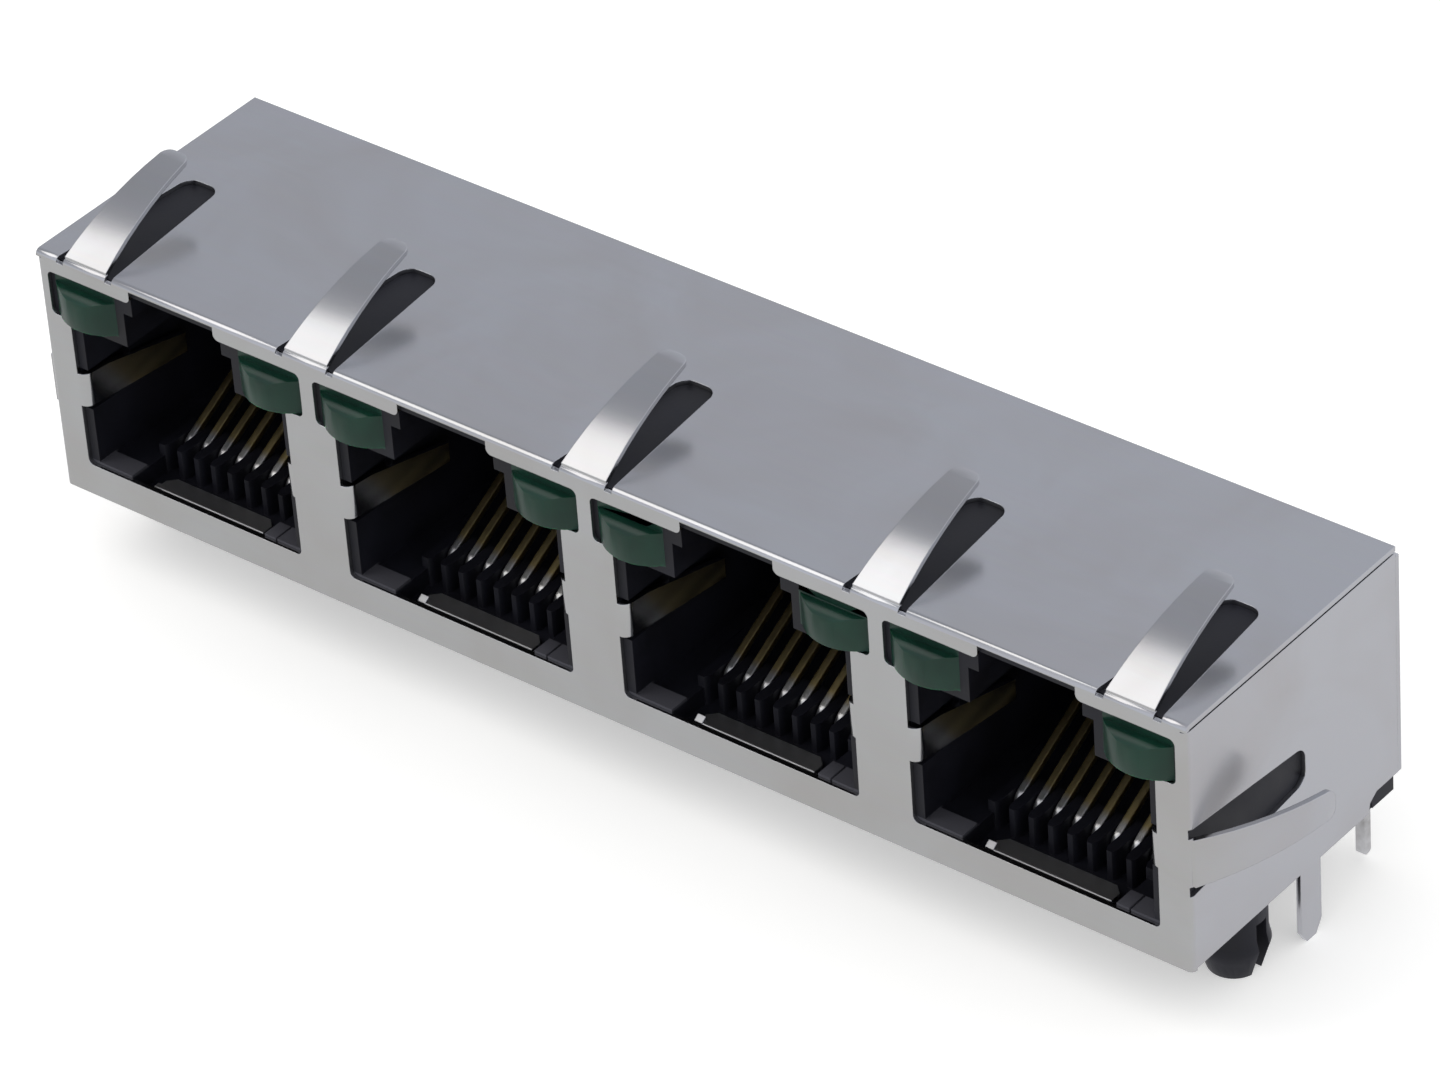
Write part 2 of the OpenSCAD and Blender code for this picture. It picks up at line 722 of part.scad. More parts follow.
// One formed contact, placed in its port: spring part, front bend, run with its jog, and tail.
module contact(p, i) {
  half = strip_w / 2;
  color([0.82, 0.66, 0.36])
    translate([port_x(p), 0, 0]) {
      along_x(contact_x(i) - half, contact_x(i) + half)
        spring_profile();
      translate([0, 0, run_z - strip_t / 2])
        linear_extrude(height = strip_t)
          run_plan(i, bend_y + 0.1, tail_y(i) - strip_bend_r - 0.1, 0);
      along_x(tail_x(i) - half, tail_x(i) + half)
        tail_profile(tail_y(i));
    }
}

// The insert over one port's contacts, which lie in grooves in its underside.
module carrier(p) {
  color([0.1, 0.1, 0.11])
    translate([port_x(p), 0, 0])
      difference() {
        span([-carrier_half, carrier_y, stand_off], [carrier_half, carrier_end_y, floor_z]);
        for (i = [1:contacts])
          linear_extrude(height = run_z + strip_t / 2)
            run_plan(i, carrier_y - 1, tail_y(i) + strip_t / 2 + groove_gap, groove_gap);
      }
}

// The side view of a lens, drawn in Y and Z, with its rounded upper front edge.
module lens_profile() {
  lens_top = ledge_z + lens_gap + lens_h;
  translate([-lens_bulge - 1, 0])
    square([lens_bulge + 1 + sheet_t + eps, lens_top - lens_round]);
  translate([-lens_bulge + lens_round, 0])
    square([lens_bulge - lens_round + sheet_t + eps, lens_top]);
  translate([-lens_bulge + lens_round, lens_top - lens_round])
    circle(r = lens_round);
}

// One light: its body in the pocket and its bulging lens in the window.
module led(p, s) {
  color([0.13, 0.3, 0.22])
    translate([port_x(p) + s * led_x, 0, 0]) {
      span([-led_w / 2, sheet_t, led_z0], [led_w / 2, led_back_y, led_z0 + led_h]);
      intersection() {
        translate([0, 0, ledge_z + lens_gap])
          linear_extrude(height = lens_h)
            intersection() {
              translate([0, lens_r - lens_bulge])
                circle(r = lens_r, $fn = 96);
              translate([-led_w / 2, -lens_bulge - 1])
                square([led_w, lens_bulge + 1 + sheet_t + eps]);
            }
        along_x(-led_w / 2, led_w / 2)
          lens_profile();
      }
    }
}

// The two leads of one light: back from its body, then down past the housing's back.
module leads(p, s) {
  y1 = lead_y + lead_t / 2;
  z1 = lead_z + lead_t / 2;
  end_z = lead_short - tail_l;
  color([0.78, 0.78, 0.78])
    translate([port_x(p) + s * led_x, 0, 0])
      for (t = [-1, 1])
        along_x(t * lead_distance / 2 - lead_t / 2, t * lead_distance / 2 + lead_t / 2) {
          translate([led_back_y, z1 - lead_t])
            square([y1 - lead_bend_r - led_back_y, lead_t]);
          translate([y1 - lead_bend_r, z1 - lead_bend_r])
            quarter_ring(lead_bend_r, lead_bend_r - lead_t, 1, 1);
          polygon([
            [y1 - lead_t, z1 - lead_bend_r], [y1 - lead_t, end_z + lead_chamfer], [y1 - lead_t + lead_chamfer, end_z],
            [y1 - lead_chamfer, end_z], [y1, end_z + lead_chamfer], [y1, z1 - lead_bend_r]
          ]);
        }
}

housing();
front_shield();
rear_shield();
carrier(1);  // carrier_1
carrier(2);  // carrier_2
carrier(3);  // carrier_3
carrier(4);  // carrier_4
contact(1, 1);  // contact_1_1
contact(1, 2);  // contact_1_2
contact(1, 3);  // contact_1_3
contact(1, 4);  // contact_1_4
contact(1, 5);  // contact_1_5
contact(1, 6);  // contact_1_6
contact(1, 7);  // contact_1_7
contact(1, 8);  // contact_1_8
contact(2, 1);  // contact_2_1
contact(2, 2);  // contact_2_2
contact(2, 3);  // contact_2_3
contact(2, 4);  // contact_2_4
contact(2, 5);  // contact_2_5
contact(2, 6);  // contact_2_6
contact(2, 7);  // contact_2_7
contact(2, 8);  // contact_2_8
contact(3, 1);  // contact_3_1
contact(3, 2);  // contact_3_2
contact(3, 3);  // contact_3_3
contact(3, 4);  // contact_3_4
contact(3, 5);  // contact_3_5
contact(3, 6);  // contact_3_6
contact(3, 7);  // contact_3_7
contact(3, 8);  // contact_3_8
contact(4, 1);  // contact_4_1
contact(4, 2);  // contact_4_2
contact(4, 3);  // contact_4_3
contact(4, 4);  // contact_4_4
contact(4, 5);  // contact_4_5
contact(4, 6);  // contact_4_6
contact(4, 7);  // contact_4_7
contact(4, 8);  // contact_4_8
led(1, -1);  // led_1_left
led(1, 1);  // led_1_right
led(2, -1);  // led_2_left
led(2, 1);  // led_2_right
led(3, -1);  // led_3_left
led(3, 1);  // led_3_right
led(4, -1);  // led_4_left
led(4, 1);  // led_4_right
leads(1, -1);  // leads_1_left
leads(1, 1);  // leads_1_right
leads(2, -1);  // leads_2_left
leads(2, 1);  // leads_2_right
leads(3, -1);  // leads_3_left
leads(3, 1);  // leads_3_right
leads(4, -1);  // leads_4_left
leads(4, 1);  // leads_4_right
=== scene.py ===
"""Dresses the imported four-port RJ45 board jack with its real finishes and lights it in a plain studio.

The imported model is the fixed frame. X runs along the front from port 1 to port 4, Y runs back from
the front face, Z is up, and the board's top face is at z = 0. Names that end in mm are lengths in
millimetres, and mm() turns them to metres.
"""

import logging
import math
from abc import ABC, abstractmethod
from collections.abc import Sequence
from dataclasses import dataclass
from enum import Enum

import bmesh
import bpy
from bpy.types import Material, Node, NodeSocket, NodeTree, Object
from mathutils import Euler, Matrix, Vector


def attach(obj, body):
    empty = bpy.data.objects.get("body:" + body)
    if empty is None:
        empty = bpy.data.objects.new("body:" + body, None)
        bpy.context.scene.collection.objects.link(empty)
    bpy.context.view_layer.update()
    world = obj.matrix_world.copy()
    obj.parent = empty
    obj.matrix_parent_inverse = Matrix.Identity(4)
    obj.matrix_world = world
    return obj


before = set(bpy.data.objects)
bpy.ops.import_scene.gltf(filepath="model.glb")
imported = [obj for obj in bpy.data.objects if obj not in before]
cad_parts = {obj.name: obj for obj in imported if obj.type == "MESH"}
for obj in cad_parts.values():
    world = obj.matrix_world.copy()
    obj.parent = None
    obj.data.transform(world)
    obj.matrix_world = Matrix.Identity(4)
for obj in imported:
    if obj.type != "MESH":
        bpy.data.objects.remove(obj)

log = logging.getLogger("board_jack")

Colour = tuple[float, float, float, float]
Triple = tuple[float, float, float]
Span = tuple[float, float]

RELEASE_BODY = "root"
PORT_COUNT = 4
PORTS = range(1, PORT_COUNT + 1)
CONTACTS_PER_PORT = 8
BEVEL_PROFILE = 0.5


def mm(value: float) -> float:
    """Turns millimetres to metres."""
    return value / 1000.0


def per_mm(size: float) -> float:
    """Texture scale at which one cell of a pattern on Object coordinates measures size millimetres."""
    return 1000.0 / size


def linear(hex_colour: str) -> Colour:
    """Turns an sRGB hex colour to the linear values that shaders read.

    Args:
        hex_colour: The colour as six hex digits, with or without a leading hash.

    Returns:
        Linear red, green and blue, and an alpha of 1.
    """
    digits = hex_colour.lstrip("#")
    channels = []
    for start in (0, 2, 4):
        value = int(digits[start : start + 2], 16) / 255.0
        channels.append(value / 12.92 if value <= 0.04045 else ((value + 0.055) / 1.055) ** 2.4)
    return (channels[0], channels[1], channels[2], 1.0)


def grey(value: float) -> Colour:
    """A linear grey, for a colour that carries a number or a level of light."""
    return (value, value, value, 1.0)


def add_node(
    tree: NodeTree,
    kind: str,
    settings: dict[str, object] | None = None,
    inputs: dict[str | int, object] | None = None,
    stops: list[tuple[float, Colour]] | None = None,
) -> Node:
    """Adds one shader node with its settings, values, links and colour stops.

    Args:
        tree: The node tree that takes the node.
        kind: The node's type name.
        settings: Properties of the node, such as its blend type.
        inputs: Input name or index to a plain value, or to the output socket that feeds it.
        stops: Position and linear colour of each stop, in rising order, where the node has a ramp.

    Returns:
        The new node.
    """
    node = tree.nodes.new(kind)
    for name, value in (settings or {}).items():
        setattr(node, name, value)
    for key, value in (inputs or {}).items():
        if isinstance(value, NodeSocket):
            tree.links.new(value, node.inputs[key])
        else:
            node.inputs[key].default_value = value
    if stops:
        elements = node.color_ramp.elements
        while len(elements) < len(stops):
            elements.new(0.5)
        for element, (position, colour) in zip(elements, stops):
            element.position = position
            element.color = colour
    return node


class Place(Enum):
    """Which of a port's two lights is meant, seen from the front."""

    LEFT = "left"
    RIGHT = "right"


@dataclass(frozen=True)
class Finish(ABC):
    """A surface finish, which builds one material."""

    name: str

    def start(self) -> tuple[Material, NodeTree, NodeSocket]:
        """Makes the empty material.

        Returns:
            The material, its tree and the Object coordinates' socket.
        """
        material = bpy.data.materials.new(self.name)
        material.use_nodes = True
        tree = material.node_tree
        tree.nodes.clear()
        return material, tree, add_node(tree, "ShaderNodeTexCoord").outputs["Object"]

    def coat(self, tree: NodeTree, inputs: dict[str | int, object]) -> None:
        """Joins the patterns to the material's surface.

        Args:
            tree: The material's tree.
            inputs: What the surface's inputs take.
        """
        shader = add_node(tree, "ShaderNodeBsdfPrincipled", inputs=inputs)
        add_node(tree, "ShaderNodeOutputMaterial", inputs={"Surface": shader.outputs["BSDF"]})

    @abstractmethod
    def build(self) -> Material:
        """Makes the material."""

    def ready(self) -> Material:
        """Hands out the finish's material, which is built the first time that it is asked for."""
        return bpy.data.materials.get(self.name) or self.build()


@dataclass(frozen=True)
class TinPlatedSheet(Finish):
    """Cold-rolled steel strip, bright tin plated, then blanked and folded."""

    name: str = "tin_plated_cold_rolled_steel"
    bright: str = "#C0C1C3"
    dull: str = "#BBBABA"
    cloud_mm: float = 7.0
    cloud_blend: Span = (0.35, 0.7)
    cloud_rough: Span = (0.3, 0.7)
    roughness: Span = (0.18, 0.21)
    grain_mm: float = 0.2
    grain_run_mm: float = 9.0
    grain_share: float = 0.04
    grain_depth_mm: float = 0.0003
    edge_mm: float = 0.05

    def build(self) -> Material:
        """Makes the sheet: bright, with faint clouds in the tin and a fine grain along X from the rolls.

        The real grain is a few hundredths of a millimetre wide. It is drawn a few times coarser so
        that it shows at all. The cut and folded edges catch the light as if they were rounded.

        Returns:
            The material.
        """
        material, tree, place = self.start()
        clouds = add_node(tree, "ShaderNodeTexNoise", inputs={
            "Vector": place,
            "Scale": per_mm(self.cloud_mm),
            "Detail": 3.0,
            "Roughness": 0.55,
            "Distortion": 0.6,
        })
        tint = add_node(tree, "ShaderNodeValToRGB", inputs={"Fac": clouds.outputs["Fac"]}, stops=[
            (self.cloud_blend[0], linear(self.bright)),
            (self.cloud_blend[1], linear(self.dull)),
        ])
        stretched = add_node(tree, "ShaderNodeMapping", inputs={
            "Vector": place,
            "Scale": (self.grain_mm / self.grain_run_mm, 1.0, 1.0),
        })
        grain = add_node(tree, "ShaderNodeTexNoise", inputs={
            "Vector": stretched.outputs["Vector"],
            "Scale": per_mm(self.grain_mm),
            "Detail": 1.0,
            "Roughness": 0.5,
        })
        mixed = add_node(tree, "ShaderNodeMix", {"data_type": "RGBA", "blend_type": "MULTIPLY"}, {
            0: self.grain_share,
            6: tint.outputs["Color"],
            7: grain.outputs["Color"],
        })
        rough = add_node(tree, "ShaderNodeMapRange", inputs={
            "Value": clouds.outputs["Fac"],
            "From Min": self.cloud_rough[0],
            "From Max": self.cloud_rough[1],
            "To Min": self.roughness[0],
            "To Max": self.roughness[1],
        })
        rounded = add_node(tree, "ShaderNodeBevel", {"samples": 6}, {"Radius": mm(self.edge_mm)})
        bump = add_node(tree, "ShaderNodeBump", inputs={
            "Strength": 0.3,
            "Distance": mm(self.grain_depth_mm),
            "Height": grain.outputs["Fac"],
            "Normal": rounded.outputs["Normal"],
        })
        self.coat(tree, {
            "Base Color": mixed.outputs[2],
            "Metallic": 1.0,
            "Roughness": rough.outputs["Result"],
            "Normal": bump.outputs["Normal"],
        })
        return material


@dataclass(frozen=True)
class MouldedPolyester(Finish):
    """Glass-filled polyester, injection moulded in a lightly eroded steel mould."""

    name: str = "black_glass_filled_polyester"
    body: str = "#131319"
    bloom: str = "#1C1D27"
    # Painted light: the lighter grey painted on the pad tops, and the band where it goes.
    pad_lit_grey: str = "#4A4A51"
    pad_lit_y_mm: Span = (1.3, 1.5)
    pad_lit_from_z_mm: Span = (1.7, 1.8)
    pad_lit_to_z_mm: Span = (1.91, 1.96)
    cloud_mm: float = 3.5
    cloud_blend: Span = (0.35, 0.75)
    cloud_rough: Span = (0.3, 0.7)
    roughness: Span = (0.42, 0.58)
    grain_mm: float = 0.09
    grain_depth_mm: float = 0.006

    def build(self) -> Material:
        """Makes the plastic: near black, with a grey bloom of glass fibre and a fine eroded grain.

        The tops of the pads at the foot of each mouth are painted a lighter grey. This is painted light
        that stands in for the light falling on them.

        Returns:
            The material.
        """
        material, tree, place = self.start()
        clouds = add_node(tree, "ShaderNodeTexNoise", inputs={
            "Vector": place,
            "Scale": per_mm(self.cloud_mm),
            "Detail": 4.0,
            "Roughness": 0.6,
        })
        tint = add_node(tree, "ShaderNodeValToRGB", inputs={"Fac": clouds.outputs["Fac"]}, stops=[
            (self.cloud_blend[0], linear(self.body)),
            (self.cloud_blend[1], linear(self.bloom)),
        ])
        grain = add_node(tree, "ShaderNodeTexNoise", inputs={
            "Vector": place,
            "Scale": per_mm(self.grain_mm),
            "Detail": 1.0,
            "Roughness": 0.5,
        })
        rough = add_node(tree, "ShaderNodeMapRange", inputs={
            "Value": clouds.outputs["Fac"],
            "From Min": self.cloud_rough[0],
            "From Max": self.cloud_rough[1],
            "To Min": self.roughness[0],
            "To Max": self.roughness[1],
        })
        bump = add_node(tree, "ShaderNodeBump", inputs={
            "Strength": 0.6,
            "Distance": mm(self.grain_depth_mm),
            "Height": grain.outputs["Fac"],
        })
        # Painted light: the pad tops are mixed towards a lighter grey.
        pad_lit_tint = add_node(tree, "ShaderNodeMix", {"data_type": "RGBA"}, {
            0: self.paint_pad_light(tree, place),
            6: tint.outputs["Color"],
            7: linear(self.pad_lit_grey),
        })
        self.coat(tree, {
            "Base Color": pad_lit_tint.outputs[2],
            "IOR": 1.57,
            "Specular IOR Level": 0.24,
            "Roughness": rough.outputs["Result"],
            "Normal": bump.outputs["Normal"],
        })
        return material

    def paint_pad_light(self, tree: NodeTree, place: NodeSocket) -> NodeSocket:
        """Finds the pad tops that take the painted light. They lie near the front face and in a thin band
        of height.

        Args:
            tree: The material's tree.
            place: The Object coordinates.

        Returns:
            A socket that is 1 on the pad tops, where the painted light goes, and 0 elsewhere.
        """
        axes = add_node(tree, "ShaderNodeSeparateXYZ", inputs={"Vector": place})
        mouth = add_node(tree, "ShaderNodeMapRange", inputs={
            "Value": axes.outputs["Y"],
            "From Min": mm(self.pad_lit_y_mm[0]),
            "From Max": mm(self.pad_lit_y_mm[1]),
            "To Min": 1.0,
            "To Max": 0.0,
        })
        above = add_node(tree, "ShaderNodeMapRange", inputs={
            "Value": axes.outputs["Z"],
            "From Min": mm(self.pad_lit_from_z_mm[0]),
            "From Max": mm(self.pad_lit_from_z_mm[1]),
        })
        below = add_node(tree, "ShaderNodeMapRange", inputs={
            "Value": axes.outputs["Z"],
            "From Min": mm(self.pad_lit_to_z_mm[0]),
            "From Max": mm(self.pad_lit_to_z_mm[1]),
            "To Min": 1.0,
            "To Max": 0.0,
        })
        height = add_node(tree, "ShaderNodeMath", {"operation": "MULTIPLY"}, {
            0: above.outputs["Result"],
            1: below.outputs["Result"],
        })
        both = add_node(tree, "ShaderNodeMath", {"operation": "MULTIPLY"}, {
            0: mouth.outputs["Result"],
            1: height.outputs["Value"],
        })
        return both.outputs["Value"]


@dataclass(frozen=True)
class TintedResin(Finish):
    """Green tinted, diffused epoxy, cast in a polished cup."""

    name: str = "green_tinted_cast_epoxy"
    body: str = "#133B2E"
    deep: str = "#0D2B22"
    cloud_mm: float = 2.2
    cloud_blend: Span = (0.3, 0.8)
    swirl_mm: float = 0.8
    swirl_depth_mm: float = 0.01
    scatter: Triple = (0.3, 1.0, 0.5)
    scatter_mm: float = 0.6

    def build(self) -> Material:
        """Makes the resin: milky dark green with a soft gloss, a little darker where the diffuser settled.

        Returns:
            The material.
        """
        material, tree, place = self.start()
        clouds = add_node(tree, "ShaderNodeTexNoise", inputs={
            "Vector": place,
            "Scale": per_mm(self.cloud_mm),
            "Detail": 2.0,
            "Roughness": 0.5,
        })
        tint = add_node(tree, "ShaderNodeValToRGB", inputs={"Fac": clouds.outputs["Fac"]}, stops=[
            (self.cloud_blend[0], linear(self.body)),
            (self.cloud_blend[1], linear(self.deep)),
        ])
        swirl = add_node(tree, "ShaderNodeTexNoise", inputs={
            "Vector": place,
            "Scale": per_mm(self.swirl_mm),
            "Detail": 1.0,
        })
        bump = add_node(tree, "ShaderNodeBump", inputs={
            "Strength": 0.25,
            "Distance": mm(self.swirl_depth_mm),
            "Height": swirl.outputs["Fac"],
        })
        self.coat(tree, {
            "Base Color": tint.outputs["Color"],
            "Roughness": 0.3,
            "IOR": 1.54,
            "Specular IOR Level": 0.3,
            "Subsurface Weight": 0.25,
            "Subsurface Radius": self.scatter,
            "Subsurface Scale": mm(self.scatter_mm),
            "Normal": bump.outputs["Normal"],
        })
        return material


@dataclass(frozen=True)
class PlatedContact(Finish):
    """Phosphor bronze strip, gold plated where the plug touches and tinned from the front bend on. The
    tin's whiter colour on the front bend is also painted highlight on the tips.
    """

    name: str = "gold_and_tin_plated_phosphor_bronze"
    gold: str = "#D2BE86"
    # Tin plating. Its whiter colour on the front bend is also painted highlight on the tips.
    tin_and_tip_highlight: str = "#D4D3D0"
    gold_y_mm: Span = (4.1, 4.45)
    gold_z_mm: Span = (1.5, 1.8)
    grain_mm: float = 0.3
    soil_share: float = 0.06
    roughness: Span = (0.27, 0.38)

    def build(self) -> Material:
        """Makes the strip: the plating changes from tin to gold just behind the front bend. The whiter tin
        on the front bend is real plating and also painted highlight on the tips.

        Returns:
            The material.
        """
        material, tree, place = self.start()
        axes = add_node(tree, "ShaderNodeSeparateXYZ", inputs={"Vector": place})
        behind = add_node(tree, "ShaderNodeMapRange", inputs={
            "Value": axes.outputs["Y"],
            "From Min": mm(self.gold_y_mm[0]),
            "From Max": mm(self.gold_y_mm[1]),
        })
        above = add_node(tree, "ShaderNodeMapRange", inputs={
            "Value": axes.outputs["Z"],
            "From Min": mm(self.gold_z_mm[0]),
            "From Max": mm(self.gold_z_mm[1]),
        })
        golden = add_node(tree, "ShaderNodeMath", {"operation": "MULTIPLY"}, {
            0: behind.outputs["Result"],
            1: above.outputs["Result"],
        })
        grain = add_node(tree, "ShaderNodeTexNoise", inputs={
            "Vector": place,
            "Scale": per_mm(self.grain_mm),
            "Detail": 2.0,
        })
        metal = add_node(tree, "ShaderNodeMix", {"data_type": "RGBA"}, {
            0: golden.outputs["Value"],
            6: linear(self.tin_and_tip_highlight),
            7: linear(self.gold),
        })
        soiled = add_node(tree, "ShaderNodeMix", {"data_type": "RGBA", "blend_type": "MULTIPLY"}, {
            0: self.soil_share,
            6: metal.outputs[2],
            7: grain.outputs["Color"],
        })
        rough = add_node(tree, "ShaderNodeMapRange", inputs={
            "Value": grain.outputs["Fac"],
            "To Min": self.roughness[0],
            "To Max": self.roughness[1],
        })
        self.coat(tree, {
            "Base Color": soiled.outputs[2],
            "Metallic": 1.0,
            "Roughness": rough.outputs["Result"],
        })
        return material


@dataclass(frozen=True)
class TinnedLead(Finish):
    """Square copper-clad steel lead, hot tinned."""

    name: str = "hot_tinned_square_lead"
    bright: str = "#CFCFCE"
    dull: str = "#A9A8A5"
    blot_mm: float = 0.7
    blot_blend: Span = (0.35, 0.7)
    blot_depth_mm: float = 0.01
    roughness: Span = (0.2, 0.45)

    def build(self) -> Material:
        """Makes the lead: soft uneven tin, brighter in some blots than in others.

        Returns:
            The material.
        """
        material, tree, place = self.start()
        blots = add_node(tree, "ShaderNodeTexNoise", inputs={
            "Vector": place,
            "Scale": per_mm(self.blot_mm),
            "Detail": 3.0,
        })
        tint = add_node(tree, "ShaderNodeValToRGB", inputs={"Fac": blots.outputs["Fac"]}, stops=[
            (self.blot_blend[0], linear(self.bright)),
            (self.blot_blend[1], linear(self.dull)),
        ])
        rough = add_node(tree, "ShaderNodeMapRange", inputs={
            "Value": blots.outputs["Fac"],
            "To Min": self.roughness[0],
            "To Max": self.roughness[1],
        })
        bump = add_node(tree, "ShaderNodeBump", inputs={
            "Strength": 0.4,
            "Distance": mm(self.blot_depth_mm),
            "Height": blots.outputs["Fac"],
        })
        self.coat(tree, {
            "Base Color": tint.outputs["Color"],
            "Metallic": 1.0,
            "Roughness": rough.outputs["Result"],
            "Normal": bump.outputs["Normal"],
        })
        return material


@dataclass(frozen=True)
class Softening:
    """How the sharp edges of a CAD node are broken."""

    width_mm: float
    segments: int = 2
    edge_angle: float = 32.0
    flat_angle: float = 1.0
    weld_mm: float = 0.001

    def apply_to(self, piece: Object) -> None:
        """Adds the live modifiers that join the loose triangles, round the edges and smooth the shading.

        Args:
            piece: The CAD node's object, whose own mesh isn't changed.
        """
        weld = piece.modifiers.new("join_triangles", "WELD")
        weld.merge_threshold = mm(self.weld_mm)
        flat = piece.modifiers.new("merge_flat_faces", "DECIMATE")
        flat.decimate_type = "DISSOLVE"
        flat.angle_limit = math.radians(self.flat_angle)
        bevel = piece.modifiers.new("break_edges", "BEVEL")
        bevel.width = mm(self.width_mm)
        bevel.segments = self.segments
        bevel.limit_method = "ANGLE"
        bevel.angle_limit = math.radians(self.edge_angle)
        bevel.profile = BEVEL_PROFILE
        bevel.use_clamp_overlap = True
        shade = piece.modifiers.new("even_shading", "WEIGHTED_NORMAL")
        shade.keep_sharp = True


@dataclass
class SubAssembly:
    """Pieces of the jack that have one finish."""

    title: str
    finish: Finish


@dataclass
class PackedPieces(SubAssembly, ABC):
    """CAD nodes, which keep their own meshes."""

    softening: Softening

    @abstractmethod
    def node_names(self) -> list[str]:
        """The CAD nodes that belong to the group."""

    def dress(self) -> None:
        """Gives each CAD node of the group its finish and its softened edges."""
        material = self.finish.ready()
        for name in self.node_names():
            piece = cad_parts[name]
            piece.data.materials.clear()
            piece.data.materials.append(material)
            for polygon in piece.data.polygons:
                polygon.use_smooth = True
            self.softening.apply_to(piece)
            log.info("%s: dressed %s in %s", self.title, name, material.name)


class Shield(PackedPieces):
    """The folded front sheet and the rear sheet."""

    def node_names(self) -> list[str]:
        """Both sheets."""
        return ["front_shield", "rear_shield"]


class Mouldings(PackedPieces):
    """The housing and the four contact carriers."""

    def node_names(self) -> list[str]:
        """The housing and one carrier per port."""
        return ["housing"] + [f"carrier_{port}" for port in PORTS]


class Contacts(PackedPieces):
    """Eight formed contacts in each port."""

    def node_names(self) -> list[str]:
        """Every contact of every port."""
        numbers = range(1, CONTACTS_PER_PORT + 1)
        return [f"contact_{port}_{number}" for port in PORTS for number in numbers]


class Lights(PackedPieces):
    """Two lights in each port."""

    def node_names(self) -> list[str]:
        """Every light of every port."""
        return [f"led_{port}_{place.value}" for port in PORTS for place in Place]


class LightLeads(PackedPieces):
    """The pair of leads of each light."""

    def node_names(self) -> list[str]:
        """Every pair of leads."""
        return [f"leads_{port}_{place.value}" for port in PORTS for place in Place]


